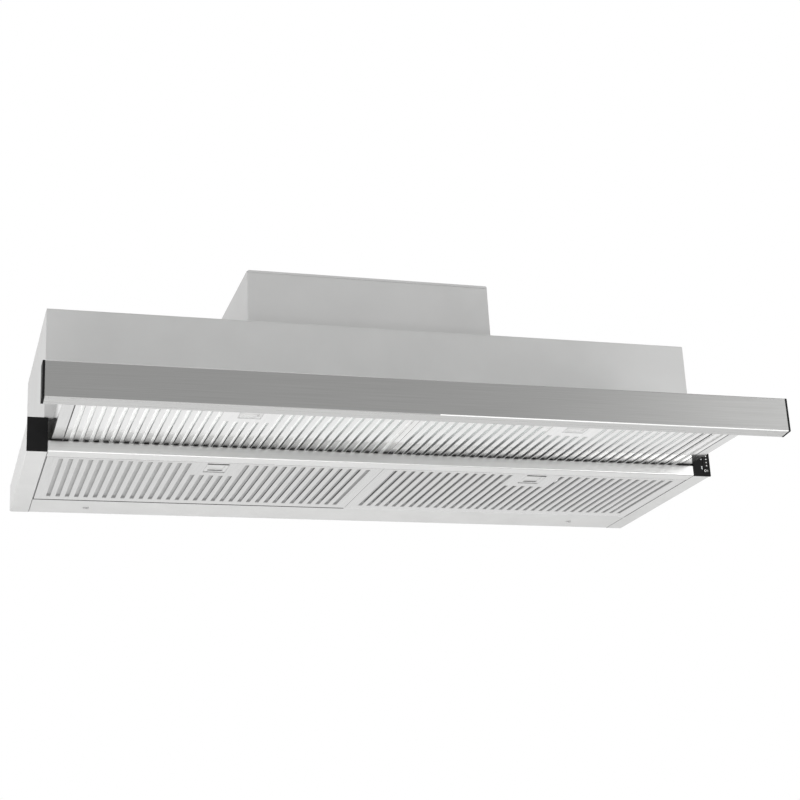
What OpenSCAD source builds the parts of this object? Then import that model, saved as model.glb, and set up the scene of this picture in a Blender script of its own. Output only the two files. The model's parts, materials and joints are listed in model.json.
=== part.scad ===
// Pull out range hood for building in under a wall cabinet, 90 cm class.
// Millimetres. The origin lies on the wall plane, at mid width and at the level of the underside.
// +Z is up and the front is towards -Y. The drawer is drawn pulled out.

/* [Body] */
// Overall width across the side rails
body_w = 898; // [780:1:1000]
// Depth of the fixed body, from the wall to the end caps' faces
body_depth = 290; // [285:1:320]
// Thickness of the sheet metal
sheet_t = 1; // [0.8:0.1:1.2]
// Step from a side rail's outer face in to the upper shell's side
shell_inset = 20; // [17:0.5:23]
// Setback of the upper shell's front behind the end caps' faces
shell_setback = 3; // [2:0.1:6]
// Height of the upper shell's top
shell_top = 184; // [170:1:200]
// Width of the folded flanges of the shell's sheets
flange_w = 12; // [8:1:14]

/* [Side rails and caps] */
// Width of a side rail, seen from below
rail_w = 25; // [24:0.5:28]
// Height of a side rail
rail_h = 38; // [37.5:0.5:41]
// Height of the end caps
cap_h = 42.5; // [41.5:0.5:46]
// Thickness of the end caps' front plates
cap_t = 2.5; // [2:0.1:2.8]
// Depth of the end caps' plugs inside the rails
plug_d = 8; // [7:0.5:10]

/* [Trim and rear rail] */
// Height of the front trim bar
trim_h = 14.2; // [13:0.1:14.6]
// Depth of the front trim bar's underside
trim_d = 22; // [20:0.5:26]
// Depth of the rear rail's underside
rear_rail_d = 70; // [64:1:76]
// Height of the lips that the filters lie against
lip_h = 4; // [3.5:0.1:4.5]

/* [Motor box and duct] */
// Width of the motor box
motor_box_w = 335; // [300:1:370]
// Setback of the motor box's front behind the end caps' faces
motor_box_setback = 47.5; // [30:0.5:52]
// Height of the motor box's top
motor_box_top = 272; // [266:1:290]
// Distance of the duct's axis from the wall
duct_y = 100; // [92:1:106]
// Outer radius of the duct spigot
duct_r = 60; // [54:0.5:66]
// Length of the duct spigot above its base ring
duct_h = 27; // [24:1:34]

/* [Drawer] */
// How much shorter than the body is deep the drawer's travel is
drawer_hold = 101; // [95:1:140]
// Height of the fascia
fascia_h = 42; // [41:0.5:46]
// Thickness of the fascia
fascia_t = 19; // [15:0.5:22]
// How far the fascia hangs below the body's underside
fascia_drop = 2; // [0:0.5:3]
// How much lower the fascia's underside is at its rear edge
fascia_slope = 2; // [0:0.5:4]
// Thickness of the fascia's end caps
end_cap_t = 2.8; // [2.4:0.1:4]
// Height of the drawer's side members
drawer_h = 21.2; // [20.5:0.1:21.5]
// Width of the drawer's side members, seen from below
drawer_side_w = 14.2; // [12:0.1:16]
// Depth of the drawer's front rail behind the fascia
drawer_rail_d = 32.5; // [28:0.5:36]
// Length of the drawer's side members behind the filters
drawer_tail = 37; // [30:0.5:38]
// Thickness of the drawer's clear top panel
glass_t = 3; // [2:0.5:3.5]
// Length of a drawer glide
glide_len = 48; // [36:1:50]
// Height of a drawer glide
glide_h = 17; // [14:0.5:17.4]

/* [Filters] */
// Height of a filter's folded edges
filter_h = 10; // [9:0.5:11]
// Thickness of a filter's sheets
filter_t = 0.8; // [0.6:0.1:1]
// Width of a slot in the face
slot_w = 5.6; // [4:0.1:7]
// Distance from slot to slot
slot_pitch = 12.1; // [11:0.1:14]
// Slots each side of the middle one that end short behind the latch
short_slots = 2; // [2:1:3]
// Start of the slots behind the filter's front edge
slot_start = 6; // [5:0.5:8]
// Start of the short slots behind the filter's front edge
short_start = 57; // [50:1:60]
// Face left in front of the filter's rear edge
slot_end = 14; // [10:0.5:18]
// Width of a slot in the lower filters' baffles, behind the face
baffle_slot_w = 2.2; // [1.6:0.1:4.6]
// Width of a slot in the baffles of the drawer's filters
open_slot_w = 5; // [4:0.1:6]
// Distance from the face up to the baffle
baffle_gap = 4; // [3.8:0.1:4.6]

/* [Latches] */
// Width of the latch's window
latch_w = 28; // [26:0.5:32]
// Depth of the latch's window, front to back
latch_d = 40; // [33:0.5:42]
// Travel of the latch slider
latch_travel = 4.5; // [3.5:0.1:4.6]

/* [Controls] */
// Width of a speed key
key_w = 7.2; // [6:0.1:8]
// Height of a speed key
key_h = 3.9; // [3:0.1:4]
// Distance from key to key
key_pitch = 4.4; // [4.3:0.1:4.8]
// Height of the lowest speed key's middle
key_z = 14.2; // [13.6:0.1:15]
// Height of the power key's middle
power_key_z = 7.2; // [7:0.1:7.6]
// Height of the power key
power_key_h = 5.6; // [5:0.1:6]
// Travel of the keys
key_travel = 1.2; // [0.8:0.1:1.3]

/* [Blower] */
// Radius of the impeller
wheel_r = 62; // [58:0.5:63]
// Width of the impeller
wheel_w = 100; // [80:1:104]
// Number of blades
blade_count = 32; // [24:1:36]
// Gap between the impeller and the scroll housing's sides
wheel_gap = 8; // [5:0.5:11]
// Scroll radius at the tongue
scroll_r_min = 68; // [66:0.5:70]
// Scroll radius where the outlet starts
scroll_r_max = 106; // [102:0.5:108]
// Thickness of the scroll's walls
scroll_t = 2; // [1.6:0.1:2.4]
// Radius of the motor
motor_r = 36; // [30:0.5:42]
// Length of the motor
motor_len = 48; // [40:1:60]
// Radius of the motor's shaft
shaft_r = 4; // [3:0.5:5]

/* [Fixings and cable entry] */
// Distance between the wall fixing holes, side to side
fix_dx = 700; // [500:1:720]
// Distance between the wall fixing holes, up and down
fix_dz = 90; // [60:1:92]
// Radius of the wall fixing holes
fix_r = 4; // [3:0.5:5]
// Radius of the cable gland's bore
gland_bore_r = 4; // [3:0.1:5]
// Length of the cable gland
gland_len = 27; // [24:0.5:30]
// Radius of a screw head
screw_head_r = 3.5; // [3:0.1:4]
// Height of a screw head
screw_head_h = 1.2; // [0.8:0.1:1.4]

/* [Hidden] */
$fn = 64;

// Overrun of a cut past the face that it goes through
cut = 1;
// Gap between pieces that are seated on each other
seat_gap = 0.3;
// Running gap between pieces that move
run_gap = 0.3;
// Gap around the filters
filter_gap = 0.8;
// Gap between the trim bar's top and the drawer
drawer_gap = 0.6;
// Gap between the closed fascia and the end caps
closed_gap = 2;
// Gap between the rails' inner faces and the drawer's sides
drawer_inset = 3;
// Gap under the front panel's lower edge
front_gap = 0.5;
// Strip of rail that shows beside an end cap
cap_reveal = 0.5;
// Wall of an end cap's plug
plug_wall = 1.2;

half_w = body_w / 2;
front_y = -body_depth;
travel = body_depth - drawer_hold;
rail_in = half_w - rail_w;
shell_half = half_w - shell_inset;
shell_front = front_y + shell_setback;
front_panel_bottom = cap_h + front_gap;

// Clearance of the hinge pins in their holes
pin_gap = 0.1;

drawer_z = trim_h + drawer_gap;
drawer_top = drawer_z + drawer_h;
drawer_half = rail_in - drawer_inset;
drawer_in = drawer_half - drawer_side_w;
fascia_back = front_y - closed_gap - travel;
fascia_front = fascia_back - fascia_t;
fascia_z0 = -fascia_drop;
fascia_z1 = fascia_z0 + fascia_h;
fascia_rear_z0 = fascia_z0 - fascia_slope;

filter_d = body_depth - trim_d - rear_rail_d - 2 * filter_gap;
lower_front = front_y + trim_d + filter_gap;
lower_w = rail_in - filter_gap - filter_gap / 2;
lower_x = filter_gap / 2 + lower_w / 2;
upper_front = fascia_back + drawer_rail_d + filter_gap;
upper_w = drawer_in - filter_gap - filter_gap / 2;
upper_x = filter_gap / 2 + upper_w / 2;
upper_rear = upper_front + filter_d;
drawer_rear = upper_rear + filter_gap + drawer_tail;

// Face left beside the outermost slots of the narrower filter, at least
slot_side = 3;
half_slots = floor((upper_w / 2 - slot_w / 2 - filter_t - slot_side) / slot_pitch);

motor_box_front = front_y + motor_box_setback;
// Distance of the cable gland from the motor box's right end, and from the wall
gland_inset = 42.5;
gland_y = 17;
gland_x = motor_box_w / 2 - gland_inset;

// A box between two corners
module block(a, b) {
    translate(a)
        cube(b - a);
}

// A plane outline with its first axis along Y and its second along Z, extruded along X
module along_x(x0, x1) {
    translate([x0, 0, 0])
        rotate([90, 0, 90])
            linear_extrude(x1 - x0)
                children();
}

// Upper shell

// Height of the lower wall fixing holes
fix_z = 70;

module wall_panel() {
    color("#c4c4c2")
        difference() {
            union() {
                block([-shell_half, -sheet_t, rail_h], [shell_half, 0, shell_top]);
                block([-motor_box_w / 2, -sheet_t, shell_top - sheet_t],
                    [motor_box_w / 2, 0, motor_box_top]);
            }
            for (x = [-fix_dx / 2, fix_dx / 2], z = [fix_z, fix_z + fix_dz])
                translate([x, cut, z])
                    rotate([90, 0, 0])
                        cylinder(r = fix_r, h = sheet_t + 2 * cut);
        }
}

module body_front() {
    color("#bbbbbb") {
        block([-shell_half, shell_front, front_panel_bottom],
            [shell_half, shell_front + sheet_t, shell_top - sheet_t]);
        block([-shell_half + sheet_t, shell_front + sheet_t, front_panel_bottom],
            [shell_half - sheet_t, shell_front + flange_w, front_panel_bottom + sheet_t]);
    }
}

module body_side(side) {
    x0 = shell_half - sheet_t;
    color("#dcdcdc")
        mirror([side < 0 ? 1 : 0, 0, 0])
            block([x0, shell_front + sheet_t, rail_h], [shell_half, -sheet_t, shell_top - sheet_t]);
}

module body_top() {
    hole_x = motor_box_w / 2 - sheet_t;
    color("#bbbbbb")
        difference() {
            block([-shell_half, shell_front, shell_top - sheet_t], [shell_half, -sheet_t, shell_top]);
            block([-hole_x, motor_box_front + sheet_t, shell_top - sheet_t - cut],
                [hole_x, cut, shell_top + cut]);
        }
}

// Front and sides of the motor box, with the flanges that it stands on
module motor_box() {
    x1 = motor_box_w / 2;
    color("#b9b9b9")
        difference() {
            union() {
                block([-x1, motor_box_front, shell_top], [x1, -sheet_t, motor_box_top - sheet_t]);
                block([-x1 - flange_w, motor_box_front - flange_w, shell_top],
                    [x1 + flange_w, -sheet_t, shell_top + sheet_t]);
            }
            block([-x1 + sheet_t, motor_box_front + sheet_t, shell_top - cut],
                [x1 - sheet_t, cut, motor_box_top + cut]);
        }
}

module motor_box_lid() {
    x1 = motor_box_w / 2;
    color("#b9b9b9")
        difference() {
            block([-x1, motor_box_front, motor_box_top - sheet_t], [x1, -sheet_t, motor_box_top]);
            translate([0, -duct_y, motor_box_top - sheet_t - cut])
                cylinder(r = flap_seat_in, h = sheet_t + 2 * cut);
            translate([gland_x, -gland_y, motor_box_top - sheet_t - cut])
                cylinder(r = gland_r + seat_gap, h = sheet_t + 2 * cut);
        }
}

// Side rails, rear rail and trim bar

module side_rail(side) {
    y0 = front_y + cap_t;
    color("#d8d8d8")
        mirror([side < 0 ? 1 : 0, 0, 0]) {
            block([rail_in, y0, 0], [half_w, 0, sheet_t]);
            block([half_w - sheet_t, y0, sheet_t], [half_w, 0, rail_h - sheet_t]);
            block([rail_in, y0, rail_h - sheet_t], [half_w, 0, rail_h]);
            block([rail_in, y0, sheet_t], [rail_in + sheet_t, 0, trim_h]);
        }
}

// Depth of the rear rail's top flange
rear_flange_d = 41;

module rear_rail() {
    x1 = rail_in - seat_gap;
    color("#d2d2d2")
        difference() {
            union() {
                block([-x1, -rear_rail_d, 0], [x1, 0, sheet_t]);
                block([-x1, -rear_rail_d, sheet_t], [x1, -rear_rail_d + sheet_t, lip_h]);
                block([-x1, -sheet_t, sheet_t], [x1, 0, rail_h]);
                block([-x1, -rear_flange_d, rail_h - sheet_t], [x1, -sheet_t, rail_h]);
                for (m = [0, 1])
                    mirror([m, 0, 0])
                        block([rail_in - sheet_t, sheet_t - rear_rail_d, sheet_t],
                            [rail_in, -sheet_t, trim_h]);
            }
            for (p = strip_screws)
                translate([p[0], p[1], -cut])
                    cylinder(r = screw_hole_r, h = sheet_t + 2 * cut);
        }
}

// Depth of the trim bar's top flange
trim_flange = 8;

module front_trim() {
    x1 = rail_in - seat_gap;
    color("#c0c0c0") {
        block([-x1, front_y, 0], [x1, front_y + sheet_t, trim_h]);
        block([-x1, front_y + sheet_t, 0], [x1, front_y + trim_d, sheet_t]);
        block([-x1, front_y + trim_d - sheet_t, sheet_t], [x1, front_y + trim_d, lip_h]);
        block([-x1, front_y + sheet_t, trim_h - sheet_t], [x1, front_y + trim_flange, trim_h]);
        for (m = [0, 1])
            mirror([m, 0, 0])
                block([rail_in - sheet_t, front_y + cap_t, sheet_t],
                    [rail_in, front_y + trim_flange, trim_h - sheet_t]);
    }
}

// End caps and controls

module cap_blank() {
    plug_x0 = rail_in + sheet_t + seat_gap;
    plug_x1 = half_w - sheet_t - seat_gap;
    plug_z0 = sheet_t + seat_gap;
    plug_z1 = rail_h - sheet_t - seat_gap;
    block([rail_in + cap_reveal, front_y, 0], [half_w, front_y + cap_t, cap_h]);
    difference() {
        block([plug_x0, front_y + cap_t, plug_z0], [plug_x1, front_y + cap_t + plug_d, plug_z1]);
        block([plug_x0 + plug_wall, front_y + cap_t - cut, plug_z0 + plug_wall],
            [plug_x1 - plug_wall, front_y + cap_t + plug_d + cut, plug_z1 - plug_wall]);
    }
}

module left_cap() {
    color("#262626")
        mirror([1, 0, 0])
            cap_blank();
}

// Right edge of the keys, inside the cap's plug
key_x1 = half_w - sheet_t - seat_gap - plug_wall - run_gap;
key_x0 = key_x1 - key_w;
key_count = 4;
// How far the keys stand out of the cap
key_proud = 0.5;
// Depth of a key behind the cap's plate
key_back = 1.5;
// Distance of the column of status lights from the keys, and its middle
light_step = 2;
light_x = key_x0 - light_step;
// Radius of a round status light
light_r = 0.8;
// Width and height of the status bar, and the height of its middle
bar_w = 1.4;
bar_h = 4.5;
bar_z = 11.3;
// How far the status lights stand out of the cap
light_proud = 0.1;

module control_cap() {
    group_z0 = key_z - key_h / 2 - run_gap;
    group_z1 = key_z + (key_count - 1) * key_pitch + key_h / 2 + run_gap;
    color("#262626")
        difference() {
            cap_blank();
            block([key_x0 - run_gap, front_y - cut, group_z0],
                [key_x1 + run_gap, front_y + cap_t + cut, group_z1]);
            block([key_x0 - run_gap, front_y - cut, power_key_z - power_key_h / 2 - run_gap],
                [key_x1 + run_gap, front_y + cap_t + cut, power_key_z + power_key_h / 2 + run_gap]);
            status_shapes(seat_gap, cut, cap_t + 2 * cut);
        }
}

// The status lights' shapes, grown sideways, from in front of the cap's face and so long
module status_shapes(grow, before, length) {
    for (i = [key_count - 2, key_count - 1])
        translate([light_x, front_y - before, key_z + i * key_pitch])
            rotate([-90, 0, 0])
                cylinder(r = light_r + grow, h = length);
    block([light_x - bar_w / 2 - grow, front_y - before, bar_z - bar_h / 2 - grow],
        [light_x + bar_w / 2 + grow, front_y - before + length, bar_z + bar_h / 2 + grow]);
}

module status_lights() {
    color("#e8f0ff")
        status_shapes(0, light_proud, light_proud + board_y - front_y);
}

module key(z, h) {
    color("#2c2c2c")
        block([key_x0, front_y - key_proud, z - h / 2], [key_x1, front_y + cap_t + key_back, z + h / 2]);
}

// Face of the control board, behind the pressed keys and their switches
switch_h = 1.5;
board_y = front_y + cap_t + key_back + key_travel + run_gap + switch_h;
// Thickness of the control board
board_t = 1.6;
// Side of a switch on the control board
switch_w = 3.2;

module control_board() {
    x0 = rail_in + sheet_t + seat_gap + plug_wall;
    x1 = half_w - sheet_t - seat_gap - plug_wall;
    z0 = sheet_t + seat_gap + plug_wall;
    z1 = rail_h - z0;
    xs = (key_x0 + key_x1) / 2;
    color("#2f6b3c")
        block([x0, board_y, z0], [x1, board_y + board_t, z1]);
    color("#8a8a8a")
        for (z = concat([power_key_z], [for (i = [0:key_count - 1]) key_z + i * key_pitch]))
            block([xs - switch_w / 2, board_y - switch_h, z - switch_w / 2],
                [xs + switch_w / 2, board_y, z + switch_w / 2]);
}

// Runners in the side rails

// Thickness of a runner
runner_t = 1.2;
// Distance of a runner's front end behind the end cap's face
runner_setback = 20;
// Distance of a runner's rear end from the wall
runner_rear = 4;
glide_z = drawer_z + drawer_h / 2;
runner_x1 = half_w - sheet_t;

module runner(side) {
    x0 = rail_in + sheet_t;
    y0 = front_y + runner_setback;
    z0 = glide_z - glide_h / 2 - run_gap;
    z1 = glide_z + glide_h / 2 + run_gap;
    color("#9fa2a4")
        mirror([side < 0 ? 1 : 0, 0, 0]) {
            block([runner_x1 - runner_t, y0, z0], [runner_x1, -runner_rear, z1]);
            block([x0, y0, z0 - runner_t], [runner_x1, -runner_rear, z0]);
            block([x0, y0, z1], [runner_x1, -runner_rear, z1 + runner_t]);
        }
}

// Filters, each drawn with its front edge on Y = 0 and its middle on X = 0

// Width and length of the tongues at a filter's rear edge, and their distance from the middle
tongue_w = 24;
tongue_d = 6;
tongue_share = 0.3;
// Width and thickness of the latch's tongue, and its height above the face
latch_tongue_w = 12;
latch_tongue_t = 1.6;
latch_tongue_z = 1.4;
// Start of the latch's window behind the front edge
latch_start = 4;

function slot_front(i) = abs(i) <= short_slots + 0.5 ? short_start : slot_start;

module face_slots() {
    for (i = [-half_slots:half_slots])
        translate([i * slot_pitch - slot_w / 2, slot_front(i)])
            square([slot_w, filter_d - slot_end - slot_front(i)]);
}

module filter_face(w) {
    opening_w = latch_tongue_w + 2 * run_gap;
    color("#dedede")
        difference() {
            union() {
                linear_extrude(filter_t)
                    difference() {
                        translate([-w / 2, 0])
                            square([w, filter_d]);
                        face_slots();
                        translate([-latch_w / 2, latch_start])
                            square([latch_w, latch_d]);
                    }
                difference() {
                    block([-w / 2, 0, 0], [w / 2, filter_d, filter_h]);
                    block([-w / 2 + filter_t, filter_t, -cut],
                        [w / 2 - filter_t, filter_d - filter_t, filter_h + cut]);
                }
                for (x = [-w * tongue_share, w * tongue_share])
                    block([x - tongue_w / 2, filter_d - filter_t, lip_h + seat_gap],
                        [x + tongue_w / 2, filter_d + tongue_d, lip_h + seat_gap + filter_t]);
            }
            block([-opening_w / 2, -cut, latch_tongue_z - run_gap],
                [opening_w / 2, filter_t + cut, latch_tongue_z + latch_tongue_t + run_gap]);
        }
}

module filter_baffle(w, slot) {
    x1 = w / 2 - filter_t - seat_gap;
    y0 = filter_t + seat_gap;
    y1 = filter_d - filter_t - seat_gap;
    z1 = filter_t + baffle_gap;
    color("#d0d0d0")
        difference() {
            block([-x1, y0, filter_t], [x1, y1, z1 + filter_t]);
            block([-x1 + filter_t, y0 + filter_t, filter_t - cut], [x1 - filter_t, y1 - filter_t, z1]);
            block([-latch_w / 2 - seat_gap, y0 - cut, filter_t - cut],
                [latch_w / 2 + seat_gap, latch_start + latch_d, z1 + filter_t + cut]);
            translate([0, 0, z1 - cut])
                linear_extrude(filter_t + 2 * cut)
                    for (i = [-half_slots + 0.5:half_slots - 0.5])
                        translate([i * slot_pitch - slot / 2, slot_front(i)])
                            square([slot, filter_d - slot_end - slot_front(i)]);
        }
}

// Gap between the latch slider and its window's sides
latch_gap = 0.4;
// How far the latch's tongue reaches past the filter's front edge
latch_reach = filter_gap - run_gap;
// How far the slider's inner flange reaches past the window at each side
latch_flange = 3;
// Height of the slider over the face sheet, and the depth and rim of its thumb hollow
latch_top = 2.6;
thumb_d = 1.2;
thumb_rim = 4;
// Window left behind the pulled slider, and the gaps before and behind the slider at rest
latch_stop = 0.5;
latch_end_gap = latch_travel + latch_stop;

module filter_latch() {
    y0 = latch_start + latch_end_gap;
    y1 = latch_start + latch_d - latch_end_gap;
    x1 = latch_w / 2 - latch_gap;
    z1 = filter_t + seat_gap;
    color("#d4d4d4")
        difference() {
            union() {
                block([-x1, y0, 0], [x1, y1, latch_top]);
                block([-x1 - latch_flange, y0, z1], [x1 + latch_flange, y1, latch_top]);
                block([-latch_tongue_w / 2, -latch_reach, latch_tongue_z],
                    [latch_tongue_w / 2, y0 + latch_end_gap, latch_tongue_z + latch_tongue_t]);
            }
            block([-x1 + thumb_rim, y0 + thumb_rim, -cut], [x1 - thumb_rim, y1 - thumb_rim, thumb_d]);
        }
}

module at_lower(side) {
    translate([side * lower_x, lower_front, 0])
        children();
}

module at_upper(side) {
    translate([side * upper_x, upper_front, drawer_z])
        children();
}

// Drawer

// Height of the fascia's rear lips
fascia_lip = 11;
// Bevel along the fascia's lower front edge
fascia_bevel = 1;

module fascia() {
    x1 = half_w - end_cap_t;
    color("#a8a8a8")
        along_x(-x1, x1)
            polygon([
                [fascia_front + fascia_bevel, fascia_z0], [fascia_front, fascia_z0 + fascia_bevel],
                [fascia_front, fascia_z1], [fascia_back, fascia_z1],
                [fascia_back, fascia_z1 - fascia_lip], [fascia_back - sheet_t, fascia_z1 - fascia_lip],
                [fascia_back - sheet_t, fascia_z1 - sheet_t],
                [fascia_front + sheet_t, fascia_z1 - sheet_t],
                [fascia_front + sheet_t, fascia_z0 + sheet_t + fascia_bevel],
                [fascia_front + sheet_t + fascia_bevel, fascia_z0 + sheet_t],
                [fascia_back - sheet_t, fascia_rear_z0 + sheet_t],
                [fascia_back - sheet_t, fascia_rear_z0 + fascia_lip],
                [fascia_back, fascia_rear_z0 + fascia_lip], [fascia_back, fascia_rear_z0]
            ]);
}

module fascia_end_caps() {
    x0 = half_w - end_cap_t;
    wall = sheet_t + seat_gap;
    inner = wall + plug_wall;
    color("#1c1c1c")
        for (m = [0, 1])
            mirror([m, 0, 0]) {
                along_x(x0, half_w)
                    polygon([
                        [fascia_front, fascia_z0], [fascia_front, fascia_z1],
                        [fascia_back, fascia_z1], [fascia_back, fascia_rear_z0]
                    ]);
                difference() {
                    block([x0 - plug_d, fascia_front + wall, fascia_z0 + wall + fascia_bevel],
                        [x0, fascia_back - wall, fascia_z1 - wall]);
                    block([x0 - plug_d - cut, fascia_front + inner, fascia_z0 + inner + fascia_bevel],
                        [x0, fascia_back - inner, fascia_z1 - inner]);
                }
            }
}

module drawer_front_rail() {
    y1 = fascia_back + drawer_rail_d;
    color("#d2d2d2") {
        block([-drawer_in, fascia_back, drawer_z], [drawer_in, y1, drawer_z + sheet_t]);
        block([-drawer_in, fascia_back, drawer_z + sheet_t],
            [drawer_in, fascia_back + sheet_t, drawer_top - sheet_t]);
        block([-drawer_in, fascia_back, drawer_top - sheet_t],
            [drawer_in, fascia_back + flange_w, drawer_top]);
        block([-drawer_in, y1 - sheet_t, drawer_z + sheet_t], [drawer_in, y1, drawer_z + lip_h]);
    }
}

module drawer_side(side) {
    color("#e0e0e0")
        mirror([side < 0 ? 1 : 0, 0, 0]) {
            block([drawer_in, fascia_back, drawer_z], [drawer_half, drawer_rear, drawer_z + sheet_t]);
            block([drawer_half - sheet_t, fascia_back, drawer_z + sheet_t],
                [drawer_half, drawer_rear, drawer_top - sheet_t]);
            block([drawer_in, fascia_back, drawer_top - sheet_t], [drawer_half, drawer_rear, drawer_top]);
            block([drawer_in, drawer_rear - sheet_t, drawer_z + sheet_t],
                [drawer_half - sheet_t, drawer_rear, drawer_top - sheet_t]);
        }
}

module drawer_rear_rail() {
    y0 = upper_rear + filter_gap;
    color("#d2d2d2") {
        block([-drawer_in, y0, drawer_z], [drawer_in, y0 + flange_w, drawer_z + sheet_t]);
        block([-drawer_in, y0, drawer_z + sheet_t], [drawer_in, y0 + sheet_t, drawer_z + lip_h]);
    }
}

// Step in of the clear panel's edges from the drawer's sides
panel_step = 1;

module drawer_top_panel() {
    color("#cfe3e6", 0.35)
        block([-drawer_half + panel_step, fascia_back + seat_gap, drawer_top],
            [drawer_half - panel_step, upper_rear + flange_w, drawer_top + glass_t]);
}

// Places of a glide's two screws along its length
glide_hole_shares = [0.25, 0.75];
// Wall of a glide under its screw heads
glide_wall = 4;

module drawer_glides() {
    x1 = runner_x1 - runner_t - run_gap;
    color("#f0f0ec")
        for (m = [0, 1])
            mirror([m, 0, 0])
                difference() {
                    block([drawer_half, drawer_rear - glide_len, glide_z - glide_h / 2],
                        [x1, drawer_rear, glide_z + glide_h / 2]);
                    for (s = glide_hole_shares)
                        translate([drawer_half + glide_wall, drawer_rear - glide_len * s, glide_z])
                            rotate([0, 90, 0])
                                cylinder(r = screw_head_r + seat_gap, h = x1 - drawer_half);
                }
}

// Radius of the buffers, and their distance from the fascia's end and its top
buffer_r = 4;
buffer_x = 18;
buffer_z = 5.5;

module drawer_buffers() {
    color("#202020")
        for (x = [-half_w + buffer_x, half_w - buffer_x])
            translate([x, fascia_back, fascia_z1 - buffer_z])
                rotate([-90, 0, 0])
                    cylinder(r = buffer_r, h = closed_gap - run_gap);
}

// Places of the screws through the drawer's front rail, as shares of its half width
rail_screw_shares = [-0.9, -0.35, 0.35, 0.9];
rail_screw_z = drawer_top - sheet_t - seat_gap - screw_head_r;

module drawer_screws() {
    color("#8c8c8c") {
        for (s = rail_screw_shares)
            translate([s * drawer_in, fascia_back + sheet_t, rail_screw_z])
                rotate([-90, 0, 0])
                    cylinder(r = screw_head_r, h = screw_head_h);
        for (m = [0, 1], s = glide_hole_shares)
            mirror([m, 0, 0])
                translate([drawer_half + glide_wall, drawer_rear - glide_len * s, glide_z])
                    rotate([0, 90, 0])
                        cylinder(r = screw_head_r, h = screw_head_h);
    }
}

// Duct collar with its flaps

// Wall of the spigot, and the base ring's width and thickness
collar_wall = 2.5;
collar_ring = 16;
collar_base = 3;
collar_in = duct_r - collar_wall;
// Ring inside the collar that the flaps rest on: its wall and its height over the collar's base
flap_seat_w = 3;
flap_seat_h = 5.5;
flap_seat_in = collar_in - flap_seat_w;
// Thickness of the flaps
flap_t = 1.2;
// Gap between the flaps and the collar's wall
flap_gap = 0.6;
flap_z = motor_box_top + collar_base + flap_seat_h + run_gap + flap_t / 2;
// Radius of the flaps' pin, of their knuckles, and the length of a knuckle
flap_pin_r = 1.5;
knuckle_r = 2.8;
knuckle_len = 11.2;
// Distances of the knuckles' middles from the duct's axis, along the pin
knuckle_pitch = 12;
// Inner edge of a flap's plate, and of its cut-outs around the other flap's knuckles
flap_edge = 2.2;
flap_notch = 3.4;
// Depth that the pin's ends reach into the collar's wall
pin_seat = 1.5;

module pin_bore() {
    translate([0, -duct_y - collar_in - pin_seat, flap_z])
        rotate([-90, 0, 0])
            cylinder(r = flap_pin_r + pin_gap, h = 2 * (collar_in + pin_seat));
}

module duct_collar() {
    z0 = motor_box_top;
    z1 = z0 + collar_base;
    color("#3a3a3a")
        difference() {
            translate([0, -duct_y, 0])
                rotate_extrude()
                    polygon([
                        [collar_in, z0], [duct_r + collar_ring, z0], [duct_r + collar_ring, z1],
                        [duct_r, z1], [duct_r, z1 + duct_h], [collar_in, z1 + duct_h]
                    ]);
            pin_bore();
        }
}

module flap_seat() {
    h = collar_base + flap_seat_h;
    color("#444444")
        difference() {
            translate([0, -duct_y, motor_box_top])
                difference() {
                    cylinder(r = collar_in, h = h);
                    translate([0, 0, -cut])
                        cylinder(r = flap_seat_in, h = h + 2 * cut);
                }
            pin_bore();
        }
}

module flap_pin() {
    length = 2 * (collar_in + pin_seat - seat_gap);
    color("#b0b0b0")
        translate([0, -duct_y - length / 2, flap_z])
            rotate([-90, 0, 0])
                cylinder(r = flap_pin_r, h = length);
}

// One flap on the +X side: its knuckles' places along the pin are given in knuckle pitches
module flap(own, other) {
    r = collar_in - flap_gap;
    difference() {
        union() {
            translate([0, 0, -flap_t / 2])
                linear_extrude(flap_t)
                    difference() {
                        circle(r = r);
                        translate([-r - cut, -r - cut])
                            square([r + cut + flap_edge, 2 * (r + cut)]);
                        for (k = other)
                            translate([0, k * knuckle_pitch - knuckle_len / 2 - run_gap])
                                square([flap_notch, knuckle_len + 2 * run_gap]);
                    }
            for (k = own)
                translate([0, k * knuckle_pitch - knuckle_len / 2, 0]) {
                    rotate([-90, 0, 0])
                        cylinder(r = knuckle_r, h = knuckle_len);
                    translate([0, 0, -flap_t / 2])
                        cube([flap_notch, knuckle_len, flap_t]);
                }
        }
        translate([0, -r, 0])
            rotate([-90, 0, 0])
                cylinder(r = flap_pin_r + pin_gap, h = 2 * r);
    }
}

module flap_right() {
    color("#4a4a4a")
        translate([0, -duct_y, flap_z])
            flap([-2, 1], [-1, 2]);
}

module flap_left() {
    color("#4a4a4a")
        translate([0, -duct_y, flap_z])
            rotate([0, 0, 180])
                flap([-2, 1], [-1, 2]);
}

// Blower

// Front wall of the outlet, beside the scroll's axis
outlet_left = -10;

// The scroll's outline, with angles from the rear up: it starts at the tongue and ends at the rear
function tongue_angle(grow) = 90 + asin((grow - outlet_left) / (scroll_r_min + grow));
function scroll_r(a) = scroll_r_min
    + (scroll_r_max - scroll_r_min) * (a - tongue_angle(0)) / (360 - tongue_angle(0));

scroll_w = wheel_w + 2 * (wheel_gap + scroll_t);
// Gap between the scroll's bottom and the front panel's lower edge
scroll_lift = 4;
scroll_z = front_panel_bottom + scroll_lift + scroll_r(270) + scroll_t;
scroll_top = motor_box_top - sheet_t - scroll_z;
scroll_y = -duct_y - (outlet_left + scroll_r_max) / 2;
// Radius of the inlets, and the width and thickness of the outlet's flange
inlet_r = 50;
outlet_flange_w = 10;
outlet_flange_t = 2;
// Number of steps in the scroll's outline
scroll_steps = 40;

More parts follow.
